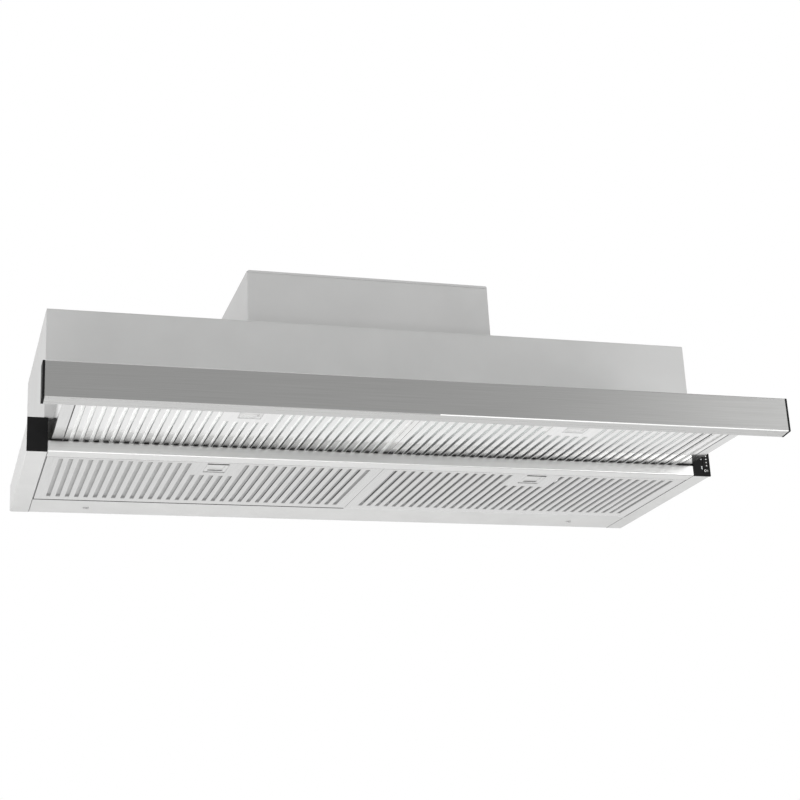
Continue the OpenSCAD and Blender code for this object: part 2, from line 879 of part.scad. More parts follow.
module scroll_outline(grow, top) {
    a0 = tongue_angle(grow);
    polygon(concat(
        [for (i = [0:scroll_steps]) let (a = a0 + (360 - a0) * i / scroll_steps)
            (scroll_r(a) + grow) * [cos(a), sin(a)]],
        [[scroll_r_max + grow, top], [outlet_left - grow, top]]));
}

// The half of the scroll housing on the +X side
module scroll_half() {
    x1 = scroll_w / 2;
    flange_x1 = x1 + outlet_flange_w;
    difference() {
        union() {
            along_x(0, x1)
                scroll_outline(scroll_t, scroll_top);
            block([0, outlet_left - scroll_t - outlet_flange_w, scroll_top - outlet_flange_t],
                [flange_x1, scroll_r_max + scroll_t + outlet_flange_w, scroll_top]);
        }
        along_x(-cut, x1 - scroll_t)
            scroll_outline(0, scroll_top + cut);
        translate([x1 - scroll_t - cut, 0, 0])
            rotate([0, 90, 0])
                cylinder(r = inlet_r, h = scroll_t + 2 * cut);
    }
}

module at_scroll() {
    translate([0, scroll_y, scroll_z])
        children();
}

module scroll_right() {
    color("#cfcfca")
        at_scroll()
            scroll_half();
}

module scroll_left() {
    color("#cfcfca")
        at_scroll()
            mirror([1, 0, 0])
                scroll_half();
}

// Impeller: rings, blades, disc and hub
wheel_ring_w = 10;
wheel_ring_t = 2;
blade_t = 1;
// Length of a blade across the rings, and its slant
blade_chord = 8;
blade_angle = 28;
hub_r = 11;
hub_len = 18;
// Clearance of the shaft in the hub and in the motor
shaft_gap = 0.05;

module impeller() {
    mid_r = wheel_r - wheel_ring_w / 2;
    color("#303234")
        at_scroll()
            rotate([0, 90, 0])
                difference() {
                    union() {
                        for (z = [-wheel_w / 2, wheel_w / 2 - wheel_ring_t])
                            translate([0, 0, z])
                                difference() {
                                    cylinder(r = wheel_r, h = wheel_ring_t);
                                    translate([0, 0, -cut])
                                        cylinder(r = wheel_r - wheel_ring_w, h = wheel_ring_t + 2 * cut);
                                }
                        translate([0, 0, -wheel_ring_t / 2])
                            cylinder(r = mid_r, h = wheel_ring_t);
                        translate([0, 0, -hub_len / 2])
                            cylinder(r = hub_r, h = hub_len);
                        for (i = [0:blade_count - 1])
                            rotate([0, 0, i * 360 / blade_count])
                                translate([mid_r, 0, 0])
                                    rotate([0, 0, blade_angle])
                                        translate([-blade_chord / 2, -blade_t / 2,
                                            (wheel_ring_t - wheel_w) / 2])
                                            cube([blade_chord, blade_t, wheel_w - wheel_ring_t]);
                    }
                    translate([0, 0, -hub_len / 2 - cut])
                        cylinder(r = shaft_r + shaft_gap, h = hub_len + 2 * cut);
                }
}

bracket_t = 2;
motor_x = scroll_w / 2 + bracket_t;
// Depth that the shaft reaches into the motor
shaft_seat = 20;

module motor_shaft() {
    color("#c8c8c8")
        at_scroll()
            translate([-hub_len / 2, 0, 0])
                rotate([0, 90, 0])
                    cylinder(r = shaft_r, h = hub_len / 2 + motor_x + shaft_seat - run_gap);
}

// Width of the bracket's spokes and of its two rings, and the shaft's clearance in it
spoke_w = 12;
bracket_ring_w = 9;
bracket_hub_r = 20;
bracket_gap = 2;

module motor_bracket() {
    color("#a6a8aa")
        at_scroll()
            translate([scroll_w / 2, 0, 0])
                rotate([0, 90, 0])
                    difference() {
                        union() {
                            difference() {
                                cylinder(r = inlet_r + bracket_ring_w, h = bracket_t);
                                translate([0, 0, -cut])
                                    cylinder(r = inlet_r, h = bracket_t + 2 * cut);
                            }
                            cylinder(r = bracket_hub_r, h = bracket_t);
                            for (a = [0, 120, 240])
                                rotate([0, 0, a])
                                    translate([0, -spoke_w / 2, 0])
                                        cube([inlet_r + bracket_ring_w / 2, spoke_w, bracket_t]);
                        }
                        translate([0, 0, -cut])
                            cylinder(r = shaft_r + bracket_gap, h = bracket_t + 2 * cut);
                    }
}

// Radius and length of the motor's rear boss
motor_boss_r = 12;
motor_boss_len = 6;

module motor() {
    color("#8e9296")
        at_scroll()
            translate([motor_x, 0, 0])
                rotate([0, 90, 0])
                    difference() {
                        union() {
                            cylinder(r = motor_r, h = motor_len);
                            translate([0, 0, motor_len])
                                cylinder(r = motor_boss_r, h = motor_boss_len);
                        }
                        translate([0, 0, -cut])
                            cylinder(r = shaft_r + shaft_gap, h = shaft_seat + cut);
                    }
}

// Electrical pieces

// Radius and height of the capacitor, and its distance from the middle
capacitor_r = 17;
capacitor_h = 60;
capacitor_x = 230;

module capacitor() {
    color("#e6e6e2")
        translate([-capacitor_x, -sheet_t - seat_gap - capacitor_r, rail_h])
            cylinder(r = capacitor_r, h = capacitor_h);
}

// Terminal box: size, wall and drop under the motor box's top
box_w = 60;
box_d = 32;
box_h = 45;
box_wall = 2;
box_drop = 20;
gland_r = 7.5;
gland_nut_r = 11;
gland_nut_h = 5;
gland_inside = 6;

module terminal_box() {
    x0 = gland_x - box_w / 2;
    x1 = gland_x + box_w / 2;
    y0 = -sheet_t - box_d;
    z1 = motor_box_top - box_drop;
    color("#e4e4de")
        difference() {
            block([x0, y0, z1 - box_h], [x1, -sheet_t, z1]);
            block([x0 + box_wall, y0 + box_wall, z1 - box_h + box_wall],
                [x1 - box_wall, -sheet_t - box_wall, z1 + cut]);
        }
}

module cable_gland() {
    z0 = motor_box_top - sheet_t - gland_inside;
    color("#2a2a2a")
        translate([gland_x, -gland_y, 0])
            difference() {
                union() {
                    translate([0, 0, z0])
                        cylinder(r = gland_r, h = gland_len);
                    for (z = [motor_box_top - sheet_t - gland_nut_h, motor_box_top])
                        translate([0, 0, z])
                            cylinder(r = gland_nut_r, h = gland_nut_h, $fn = 6);
                }
                translate([0, 0, z0 - cut])
                    cylinder(r = gland_bore_r, h = gland_len + 2 * cut);
            }
}

// Drawer switch on the rear rail: width, height, lowest point and middle
micro_w = 12;
micro_h = 15;
micro_z = 18;
micro_x = (drawer_in + drawer_half) / 2;
// Ears that hold the lever's pin
ear_t = 1.2;
ear_h = 4;
ear_rim = 2.1;
lever_pin_r = 1;
lever_t = 0.8;
nose_r = 2;
// Depth of the lever below its pin, and of its nose's middle
lever_drop = 11;
nose_drop = 10;
// Room behind the lever for its swing
lever_room = 4;
nose_y = drawer_rear + travel + run_gap + nose_r;
lever_y = nose_y + nose_r - lever_t / 2;
lever_z = micro_z + micro_h - ear_h / 2;

module drawer_switch() {
    y0 = lever_y + lever_room;
    x0 = micro_x - micro_w / 2;
    x1 = micro_x + micro_w / 2;
    color("#3c4a58")
        difference() {
            union() {
                block([x0, y0, micro_z], [x1, -sheet_t, micro_z + micro_h]);
                for (x = [x0, x1 - ear_t])
                    block([x, lever_y - ear_rim, lever_z - ear_h / 2], [x + ear_t, y0, lever_z + ear_h / 2]);
            }
            translate([x0 - cut, lever_y, lever_z])
                rotate([0, 90, 0])
                    cylinder(r = lever_pin_r + pin_gap, h = micro_w + 2 * cut);
        }
}

module switch_lever() {
    x0 = micro_x - micro_w / 2;
    w = micro_w - 2 * (ear_t + run_gap);
    color("#b8bcc0") {
        translate([x0, lever_y, lever_z])
            rotate([0, 90, 0])
                cylinder(r = lever_pin_r, h = micro_w);
        block([micro_x - w / 2, lever_y - lever_t / 2, lever_z - lever_drop],
            [micro_x + w / 2, lever_y + lever_t / 2, lever_z]);
        translate([micro_x - w / 2, nose_y, lever_z - nose_drop])
            rotate([0, 90, 0])
                cylinder(r = nose_r, h = w);
    }
}

// Shell screws

screw_hole_r = 1.8;
screw_shank_r = 1.5;
// Length of a screw's shank
screw_len = 6;
// Distance of the underside's screws from the wall, and from the middle as a share of the half width
strip_screw_y = 32;
strip_screw_share = 0.78;
strip_screws = [for (s = [-1, 1]) [s * strip_screw_share * half_w, -strip_screw_y]];
// Places of the motor box's flange screws along its front and its sides
flange_front_shares = [-0.8, 0, 0.8];
flange_side_shares = [0.25, 0.75];
// Number of screws in the collar's base ring
collar_screws = 4;

module screw_head(p) {
    translate(p)
        cylinder(r = screw_head_r, h = screw_head_h);
}

module shell_screws() {
    box_d = -sheet_t - motor_box_front;
    color("#8c8c8c") {
        for (p = strip_screws) {
            screw_head([p[0], p[1], -screw_head_h]);
            translate([p[0], p[1], 0])
                cylinder(r = screw_shank_r, h = screw_len);
        }
        for (s = flange_front_shares)
            screw_head([s * motor_box_w / 2, motor_box_front - flange_w / 2, shell_top + sheet_t]);
        for (s = flange_side_shares, x = [-1, 1])
            screw_head([x * (motor_box_w / 2 + flange_w / 2), -sheet_t - box_d * s, shell_top + sheet_t]);
        for (i = [0:collar_screws - 1])
            let (a = 45 + i * 360 / collar_screws, r = duct_r + collar_ring / 2)
                screw_head([r * cos(a), r * sin(a) - duct_y, motor_box_top + collar_base]);
    }
}

wall_panel();
body_front();
body_side(-1);  // body_side_left
body_side(1);  // body_side_right
body_top();
motor_box();
motor_box_lid();
side_rail(-1);  // side_rail_left
side_rail(1);  // side_rail_right
rear_rail();
front_trim();
left_cap();
control_cap();
control_board();
status_lights();
key(power_key_z, power_key_h);  // power_key
key(key_z, key_h);  // speed_key_one
key(key_z + key_pitch, key_h);  // speed_key_two
key(key_z + 2 * key_pitch, key_h);  // speed_key_three
key(key_z + 3 * key_pitch, key_h);  // speed_key_four
runner(-1);  // runner_left
runner(1);  // runner_right
at_lower(-1) filter_face(lower_w);  // lower_left_face
at_lower(-1) filter_baffle(lower_w, baffle_slot_w);  // lower_left_baffle
at_lower(-1) filter_latch();  // lower_left_latch
at_lower(1) filter_face(lower_w);  // lower_right_face
at_lower(1) filter_baffle(lower_w, baffle_slot_w);  // lower_right_baffle
at_lower(1) filter_latch();  // lower_right_latch
fascia();
fascia_end_caps();
drawer_front_rail();
drawer_side(-1);  // drawer_side_left
drawer_side(1);  // drawer_side_right
drawer_rear_rail();
drawer_top_panel();
drawer_glides();
drawer_buffers();
drawer_screws();
at_upper(-1) filter_face(upper_w);  // upper_left_face
at_upper(-1) filter_baffle(upper_w, open_slot_w);  // upper_left_baffle
at_upper(-1) filter_latch();  // upper_left_latch
at_upper(1) filter_face(upper_w);  // upper_right_face
at_upper(1) filter_baffle(upper_w, open_slot_w);  // upper_right_baffle
at_upper(1) filter_latch();  // upper_right_latch
duct_collar();
flap_seat();
flap_pin();
flap_left();
flap_right();
scroll_left();
scroll_right();
impeller();
motor_shaft();
motor_bracket();
motor();
capacitor();
terminal_box();
cable_gland();
drawer_switch();
switch_lever();
shell_screws();
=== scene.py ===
import json
import math
import bpy
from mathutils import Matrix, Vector


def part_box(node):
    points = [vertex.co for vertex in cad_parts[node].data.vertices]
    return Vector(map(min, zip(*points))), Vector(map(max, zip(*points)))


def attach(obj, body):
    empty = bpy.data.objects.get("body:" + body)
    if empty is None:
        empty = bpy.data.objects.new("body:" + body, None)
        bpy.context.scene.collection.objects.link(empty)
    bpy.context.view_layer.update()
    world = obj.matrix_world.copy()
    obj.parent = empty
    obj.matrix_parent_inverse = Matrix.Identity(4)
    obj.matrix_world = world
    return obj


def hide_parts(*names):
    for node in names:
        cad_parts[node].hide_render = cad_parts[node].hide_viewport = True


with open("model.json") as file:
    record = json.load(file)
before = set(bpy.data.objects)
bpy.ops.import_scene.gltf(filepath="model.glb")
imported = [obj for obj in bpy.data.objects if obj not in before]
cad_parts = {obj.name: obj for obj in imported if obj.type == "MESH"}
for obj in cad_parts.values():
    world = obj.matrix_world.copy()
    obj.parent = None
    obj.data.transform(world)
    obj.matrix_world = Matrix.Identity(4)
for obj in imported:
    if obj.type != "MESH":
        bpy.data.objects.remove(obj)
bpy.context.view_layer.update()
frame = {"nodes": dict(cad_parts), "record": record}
nodes = frame["nodes"]
mm = 0.001
print("frame loaded:", len(nodes), "nodes")


view = {"place": (-0.580394, -2.169962, -0.561939), "turn": (108.758, 2.346, -15.538),
        "lens": 72.896, "shiftX": 0.0463, "shiftY": -0.0176, "nearest": 0.05}


def placeCamera():
    turn = [math.radians(a) for a in view["turn"]]
    bpy.ops.object.camera_add(location=view["place"], rotation=turn)
    camera = bpy.context.object
    camera.name = "viewCamera"
    camera.data.lens = view["lens"]
    camera.data.shift_x = view["shiftX"]
    camera.data.shift_y = view["shiftY"]
    camera.data.clip_start = view["nearest"]
    bpy.context.scene.camera = camera


# place and aim in metres, power in watts
lamps = {
    "belowLamp": {"place": (-0.25, -0.75, -1.15), "aim": (0.0, -0.2, 0.0), "size": 1.7, "power": 14},
    "leftLamp": {"place": (-2.1, -0.7, 0.0), "aim": (-0.4, -0.15, 0.1), "size": 1.5, "power": 17},
    "frontLamp": {"place": (-0.4, -3.2, -0.9), "aim": (0.0, -0.2, 0.1), "size": 1.4, "power": 6},
    "lowRightLamp": {"place": (1.3, -1.5, -0.8), "aim": (0.4, -0.3, 0.0), "size": 0.8, "power": 11},
    "highRightLamp": {"place": (1.5, -2.0, 0.55), "aim": (0.46, -0.5, 0.0), "size": 0.8, "power": 3.5},
    "topLamp": {"place": (0.0, -0.1, 1.9), "aim": (0.0, -0.3, 0.2), "size": 1.6, "power": 16},
}


def hangLamps():
    for name, lamp in lamps.items():
        aim = Vector(lamp["aim"]) - Vector(lamp["place"])
        turn = aim.to_track_quat("-Z", "Y").to_euler()
        bpy.ops.object.light_add(type="AREA", location=lamp["place"], rotation=turn)
        light = bpy.context.object
        light.name = name
        light.data.shape = "DISK"
        light.data.size = lamp["size"]
        light.data.energy = lamp["power"]


studio = {"ambient": 0.38, "floorSize": 12, "floorPlace": (0, -0.3, -2.4),
          "floorTone": (0.86, 0.86, 0.85, 1), "floorRough": 0.9}


def whiteForEye(tree):
    # 1 for camera, mirror and glass rays, 0 for the rest
    path = tree.nodes.new("ShaderNodeLightPath")
    either = tree.nodes.new("ShaderNodeMath")
    either.operation = "MAXIMUM"
    tree.links.new(path.outputs["Is Camera Ray"], either.inputs[0])
    tree.links.new(path.outputs["Is Glossy Ray"], either.inputs[1])
    every = tree.nodes.new("ShaderNodeMath")
    every.operation = "MAXIMUM"
    tree.links.new(either.outputs[0], every.inputs[0])
    tree.links.new(path.outputs["Is Transmission Ray"], every.inputs[1])
    return every.outputs[0]


def lightWorld():
    world = bpy.data.worlds.new("studioWorld")
    bpy.context.scene.world = world
    world.use_nodes = True
    tree = world.node_tree
    tree.nodes.clear()
    dim = tree.nodes.new("ShaderNodeBackground")
    dim.inputs["Color"].default_value = (1, 1, 1, 1)
    dim.inputs["Strength"].default_value = studio["ambient"]
    white = tree.nodes.new("ShaderNodeBackground")
    white.inputs["Color"].default_value = (1, 1, 1, 1)
    white.inputs["Strength"].default_value = 1.0
    mix = tree.nodes.new("ShaderNodeMixShader")
    out = tree.nodes.new("ShaderNodeOutputWorld")
    tree.links.new(whiteForEye(tree), mix.inputs[0])
    tree.links.new(dim.outputs[0], mix.inputs[1])
    tree.links.new(white.outputs[0], mix.inputs[2])
    tree.links.new(mix.outputs[0], out.inputs["Surface"])


def layFloor():
    bpy.ops.mesh.primitive_plane_add(size=studio["floorSize"], location=studio["floorPlace"])
    floor = bpy.context.object
    floor.name = "studioFloor"
    paint = bpy.data.materials.new("floorPaint")
    paint.use_nodes = True
    shader = paint.node_tree.nodes["Principled BSDF"]
    shader.inputs["Base Color"].default_value = studio["floorTone"]
    shader.inputs["Roughness"].default_value = studio["floorRough"]
    floor.data.materials.append(paint)


placeCamera()
hangLamps()
lightWorld()
layFloor()
bpy.context.scene.view_settings.view_transform = "Standard"
print("camera, lamps and floor placed")


def shaderOf(paint):
    return paint.node_tree.nodes["Principled BSDF"]


def startFinish(name, colour, rough, metal=0.0):
    paint = bpy.data.materials.new(name)
    paint.use_nodes = True
    shader = shaderOf(paint)
    shader.inputs["Base Color"].default_value = (*colour, 1)
    shader.inputs["Roughness"].default_value = rough
    shader.inputs["Metallic"].default_value = metal
    return paint


evenly = (1, 1, 1)             # a pattern as fine one way as the other
grainAlongX = (0.01, 1, 1)     # drawn out along the width, as brushed sheet is
noiseSpan = (0.3, 0.7)         # nearly all of a noise lies between these


def stretchedNoise(paint, stretch, scale, detail=3.0):
    tree = paint.node_tree
    where = tree.nodes.new("ShaderNodeTexCoord")
    mapping = tree.nodes.new("ShaderNodeMapping")
    mapping.inputs["Scale"].default_value = stretch
    noise = tree.nodes.new("ShaderNodeTexNoise")
    noise.inputs["Scale"].default_value = scale
    noise.inputs["Detail"].default_value = detail
    tree.links.new(where.outputs["Object"], mapping.inputs["Vector"])
    tree.links.new(mapping.outputs["Vector"], noise.inputs["Vector"])
    return noise.outputs["Fac"]


def varyColour(paint, dark, light, stretch, scale, detail=3.0):
    tree = paint.node_tree
    ramp = tree.nodes.new("ShaderNodeValToRGB")
    for stop, place, colour in zip(ramp.color_ramp.elements, noiseSpan, (dark, light)):
        stop.position = place
        stop.color = (*colour, 1)
    tree.links.new(stretchedNoise(paint, stretch, scale, detail), ramp.inputs["Fac"])
    tree.links.new(ramp.outputs["Color"], shaderOf(paint).inputs["Base Color"])
    return ramp.outputs["Color"]


def varyRoughness(paint, low, high, stretch, scale):
    tree = paint.node_tree
    spread = tree.nodes.new("ShaderNodeMapRange")
    spread.inputs["From Min"].default_value = noiseSpan[0]
    spread.inputs["From Max"].default_value = noiseSpan[1]
    spread.inputs["To Min"].default_value = low
    spread.inputs["To Max"].default_value = high
    tree.links.new(stretchedNoise(paint, stretch, scale), spread.inputs["Value"])
    tree.links.new(spread.outputs["Result"], shaderOf(paint).inputs["Roughness"])


def addRelief(paint, strength, depth, stretch, scale, detail=2.0):
    tree = paint.node_tree
    bump = tree.nodes.new("ShaderNodeBump")
    bump.inputs["Strength"].default_value = strength
    bump.inputs["Distance"].default_value = depth
    tree.links.new(stretchedNoise(paint, stretch, scale, detail), bump.inputs["Height"])
    tree.links.new(bump.outputs["Normal"], shaderOf(paint).inputs["Normal"])


# dark, light: how far the tone varies; grain: a larger number is a finer pattern
# uneven: lowest and highest roughness, grain; relief: strength, depth in metres, grain
paints = {
    "silverPaint": {"tone": (0.62, 0.62, 0.615), "rough": 0.46, "metal": 0.15,
                    "dark": (0.605, 0.605, 0.6), "light": (0.635, 0.635, 0.63), "grain": 14,
                    "uneven": (0.42, 0.5, 30), "relief": (0.12, 0.0002, 900)},
    "railPaint": {"tone": (0.68, 0.68, 0.675), "rough": 0.4, "metal": 0.15,
                  "dark": (0.655, 0.655, 0.65), "light": (0.7, 0.7, 0.695), "grain": 18,
                  "uneven": (0.36, 0.44, 40), "relief": (0.12, 0.0002, 800)},
    # lower filters' inner sheet: painted darker than the drawer filters' same sheet, with a faint painted glow
    "baffleMetal": {"tone": (0.37, 0.37, 0.367), "rough": 0.5,
                    "dark": (0.35, 0.35, 0.347), "light": (0.39, 0.39, 0.387), "grain": 60,
                    "relief": (0.1, 0.0002, 600), "glow": 0.13},
    # drawer filters' inner sheet: painted lighter than the lower filters' same sheet, with a faint painted glow
    "litBaffle": {"tone": (0.9, 0.9, 0.895), "rough": 0.5,
                  "dark": (0.88, 0.88, 0.875), "light": (0.92, 0.92, 0.915), "grain": 60,
                  "relief": (0.1, 0.0002, 600), "glow": 0.12},
    "latchMetal": {"tone": (0.7, 0.7, 0.695), "rough": 0.38, "metal": 0.3,
                   "dark": (0.67, 0.67, 0.665), "light": (0.73, 0.73, 0.725), "grain": 90,
                   "relief": (0.1, 0.0002, 900)},
    "blackPlastic": {"tone": (0.007, 0.007, 0.0072), "rough": 0.55,
                     "dark": (0.0055, 0.0055, 0.0057), "light": (0.009, 0.009, 0.0092), "grain": 60,
                     "relief": (0.3, 0.0003, 1600), "shine": 0.12},
    "keyPlastic": {"tone": (0.009, 0.009, 0.0093), "rough": 0.45,
                   "dark": (0.0075, 0.0075, 0.0078), "light": (0.011, 0.011, 0.0113), "grain": 80,
                   "relief": (0.15, 0.0002, 1800), "shine": 0.16},
    "printWhite": {"tone": (0.8, 0.8, 0.79), "rough": 0.5,
                   "dark": (0.74, 0.74, 0.73), "light": (0.85, 0.85, 0.84), "grain": 400},
    "lightPipe": {"tone": (0.8, 0.82, 0.84), "rough": 0.2,
                  "dark": (0.74, 0.77, 0.8), "light": (0.84, 0.86, 0.88), "grain": 500, "clear": 0.3},
    "boardGreen": {"tone": (0.04, 0.17, 0.07), "rough": 0.35,
                   "dark": (0.03, 0.13, 0.055), "light": (0.05, 0.21, 0.085), "grain": 420},
    "zincSteel": {"tone": (0.52, 0.53, 0.54), "rough": 0.35, "metal": 0.85,
                  "dark": (0.46, 0.47, 0.48), "light": (0.58, 0.59, 0.6), "grain": 75, "detail": 6,
                  "uneven": (0.28, 0.45, 60), "relief": (0.08, 0.0002, 700)},
    "nylonWhite": {"tone": (0.8, 0.8, 0.76), "rough": 0.5,
                   "dark": (0.77, 0.77, 0.73), "light": (0.83, 0.83, 0.79), "grain": 90,
                   "relief": (0.15, 0.0003, 700)},
    # painted shade for the edges beside gaps, the screw recesses and the lower latches' fronts
    "seamShade": {"tone": (0.06, 0.06, 0.06), "rough": 0.6,
                  "dark": (0.045, 0.045, 0.045), "light": (0.08, 0.08, 0.08), "grain": 200,
                  "relief": (0.1, 0.0001, 900)},
    # painted highlight for the fascia's lower edge
    "paintedEdgeGleam": {"tone": (0.86, 0.86, 0.855), "rough": 0.5, "stretch": (0.3, 1, 1),
                  "dark": (0.84, 0.84, 0.835), "light": (0.88, 0.88, 0.875), "grain": 80},
    "bufferRubber": {"tone": (0.022, 0.022, 0.022), "rough": 0.75,
                     "dark": (0.018, 0.018, 0.018), "light": (0.03, 0.03, 0.03), "grain": 300,
                     "relief": (0.3, 0.0003, 1500)},
    "screwSteel": {"tone": (0.56, 0.56, 0.56), "rough": 0.28, "metal": 0.95,
                   "dark": (0.5, 0.5, 0.5), "light": (0.62, 0.62, 0.62), "grain": 500,
                   "relief": (0.1, 0.0001, 1500)},
    "ductPlastic": {"tone": (0.035, 0.035, 0.037), "rough": 0.5,
                    "dark": (0.03, 0.03, 0.032), "light": (0.043, 0.043, 0.045), "grain": 70,
                    "relief": (0.25, 0.0003, 1000)},
    "scrollPlastic": {"tone": (0.5, 0.5, 0.46), "rough": 0.5,
                      "dark": (0.47, 0.47, 0.43), "light": (0.53, 0.53, 0.49), "grain": 40,
                      "relief": (0.2, 0.0003, 800)},
    "motorMetal": {"tone": (0.3, 0.31, 0.32), "rough": 0.45, "metal": 0.8,
                   "dark": (0.26, 0.27, 0.28), "light": (0.34, 0.35, 0.36), "grain": 120,
                   "relief": (0.3, 0.0004, 500)},
    "whitePlastic": {"tone": (0.74, 0.74, 0.7), "rough": 0.35,
                     "dark": (0.71, 0.71, 0.67), "light": (0.77, 0.77, 0.73), "grain": 60,
                     "relief": (0.1, 0.0002, 900)},
    "switchPlastic": {"tone": (0.03, 0.05, 0.09), "rough": 0.45,
                      "dark": (0.025, 0.042, 0.075), "light": (0.037, 0.06, 0.105), "grain": 200,
                      "relief": (0.2, 0.0002, 1200)},
}


def plainFinish(name):
    look = paints[name]
    paint = startFinish(name, look["tone"], look["rough"], look.get("metal", 0.0))
    varyColour(paint, look["dark"], look["light"], look.get("stretch", evenly), look["grain"],
               look.get("detail", 3.0))
    if "uneven" in look:
        low, high, grain = look["uneven"]
        varyRoughness(paint, low, high, evenly, grain)
    if "relief" in look:
        strength, depth, grain = look["relief"]
        addRelief(paint, strength, depth, evenly, grain)
    # glow is painted light: emission from a surface that is no lamp
    for word, socket in (("shine", "Specular IOR Level"), ("clear", "Transmission Weight"),
                         ("glow", "Emission Strength")):
        if word in look:
            shaderOf(paint).inputs[socket].default_value = look[word]
    if "glow" in look:
        shaderOf(paint).inputs["Emission Color"].default_value = (1, 1, 1, 1)
    return paint


brushed = {
    "brushedSteel": {"tone": (0.28, 0.28, 0.276), "rough": 0.34, "metal": 0.75,
                     "dark": (0.265, 0.265, 0.261), "light": (0.295, 0.295, 0.291)},
    # the fascia's steel where it is folded under, painted much lighter than its front: painted light for the
    # light it catches there
    "foldedSteel": {"tone": (0.74, 0.74, 0.735), "rough": 0.3, "metal": 0.6,
                    "dark": (0.71, 0.71, 0.705), "light": (0.77, 0.77, 0.765)},
    "trimSteel": {"tone": (0.6, 0.6, 0.595), "rough": 0.34, "metal": 0.8,
                  "dark": (0.58, 0.58, 0.575), "light": (0.63, 0.63, 0.625)},
}
brushGrain = {"tone": 900, "toneDetail": 6, "rough": 700, "roughSpread": 0.04,
              "scratch": 2500, "scratchDetail": 4, "scratchStretch": (0.008, 1, 1),
              "strength": 0.1, "depth": 0.00005}


def brushedFinish(name):
    look = brushed[name]
    paint = startFinish(name, look["tone"], look["rough"], look["metal"])
    varyColour(paint, look["dark"], look["light"], grainAlongX, brushGrain["tone"], brushGrain["toneDetail"])
    spread = brushGrain["roughSpread"]
    varyRoughness(paint, look["rough"] - spread, look["rough"] + spread, grainAlongX, brushGrain["rough"])
    addRelief(paint, brushGrain["strength"], brushGrain["depth"], brushGrain["scratchStretch"],
              brushGrain["scratch"], brushGrain["scratchDetail"])
    return paint


# polished sheet; fall is the painted shade that darkens its tone where another part stands close: openness and
# share of the tone
polish = {"rough": 0.11, "metal": 0.92, "roughSpan": (0.09, 0.13), "roughStretch": (1, 0.1, 1), "roughGrain": 160,
          "relief": (0.06, 0.0001), "reliefStretch": (1, 0.05, 1), "reliefGrain": 900,
          "toneSpread": 0.025, "toneStretch": (1, 0.08, 1), "toneGrain": 300, "toneDetail": 4,
          "blueLoss": 0.005, "fall": ((0.5, 0.1), (0.75, 0.22), (0.93, 0.42), (0.98, 1.0)), "rays": 8}


def greyOf(tone):
    return (tone, tone, tone - polish["blueLoss"])


def filterMetal(name, tone, reach):
    # reach is how near, in metres, the other part has to be for the painted shade
    paint = startFinish(name, greyOf(tone), polish["rough"], polish["metal"])
    varyRoughness(paint, *polish["roughSpan"], polish["roughStretch"], polish["roughGrain"])
    addRelief(paint, *polish["relief"], polish["reliefStretch"], polish["reliefGrain"])
    spread = polish["toneSpread"]
    sheetTone = varyColour(paint, greyOf(tone - spread), greyOf(tone + spread), polish["toneStretch"],
                           polish["toneGrain"], polish["toneDetail"])
    tree = paint.node_tree
    # painted shade: the ambient occlusion of nearby parts darkens the sheet's colour
    openness = tree.nodes.new("ShaderNodeAmbientOcclusion")
    openness.samples = polish["rays"]
    openness.inputs["Distance"].default_value = reach
    fall = tree.nodes.new("ShaderNodeValToRGB")
    stops = fall.color_ramp.elements
    stops[0].position, stops[1].position = polish["fall"][0][0], polish["fall"][-1][0]
    for place, share in polish["fall"][1:-1]:
        stops.new(place)
    for stop, (place, share) in zip(stops, polish["fall"]):
        stop.color = (share, share, share, 1)
    shadeMultiply = tree.nodes.new("ShaderNodeMixRGB")
    shadeMultiply.blend_type = "MULTIPLY"
    shadeMultiply.inputs[0].default_value = 1.0
    tree.links.new(openness.outputs["AO"], fall.inputs["Fac"])
    tree.links.new(sheetTone, shadeMultiply.inputs[1])
    tree.links.new(fall.outputs["Color"], shadeMultiply.inputs[2])
    tree.links.new(shadeMultiply.outputs["Color"], shaderOf(paint).inputs["Base Color"])
    return paint


seeThrough = {"litShare": 0.6, "litTone": (0.98, 0.98, 0.975, 1), "panelRough": (0.03, 0.08), "panelGrain": 12,
              "panelTone": (0.93, 0.95, 0.947), "throughTone": (0.98, 0.982, 0.981, 1), "panelEdge": 1.3}


def litBaffle():
    # fine inner sheet of the drawer's filters: bright partly from the daylight that passes through it, partly
    # from a painted lighter tone and a painted glow
    paint = plainFinish("litBaffle")
    tree = paint.node_tree
    glow = tree.nodes.new("ShaderNodeBsdfTranslucent")
    glow.inputs["Color"].default_value = seeThrough["litTone"]
    mix = tree.nodes.new("ShaderNodeMixShader")
    mix.inputs[0].default_value = seeThrough["litShare"]
    tree.links.new(shaderOf(paint).outputs[0], mix.inputs[1])
    tree.links.new(glow.outputs[0], mix.inputs[2])
    tree.links.new(mix.outputs[0], tree.nodes["Material Output"].inputs["Surface"])
    return paint


def clearPanel():
    # thin clear sheet: light goes straight through, the faces only mirror a little
    low, high = seeThrough["panelRough"]
    paint = startFinish("clearPanel", seeThrough["panelTone"], (low + high) / 2)
    varyRoughness(paint, low, high, evenly, seeThrough["panelGrain"])
    tree = paint.node_tree
    through = tree.nodes.new("ShaderNodeBsdfTransparent")
    through.inputs["Color"].default_value = seeThrough["throughTone"]
    edge = tree.nodes.new("ShaderNodeFresnel")
    edge.inputs["IOR"].default_value = seeThrough["panelEdge"]
    mix = tree.nodes.new("ShaderNodeMixShader")
    tree.links.new(edge.outputs["Fac"], mix.inputs[0])
    tree.links.new(through.outputs[0], mix.inputs[1])
    tree.links.new(shaderOf(paint).outputs[0], mix.inputs[2])
    tree.links.new(mix.outputs[0], tree.nodes["Material Output"].inputs["Surface"])
    return paint


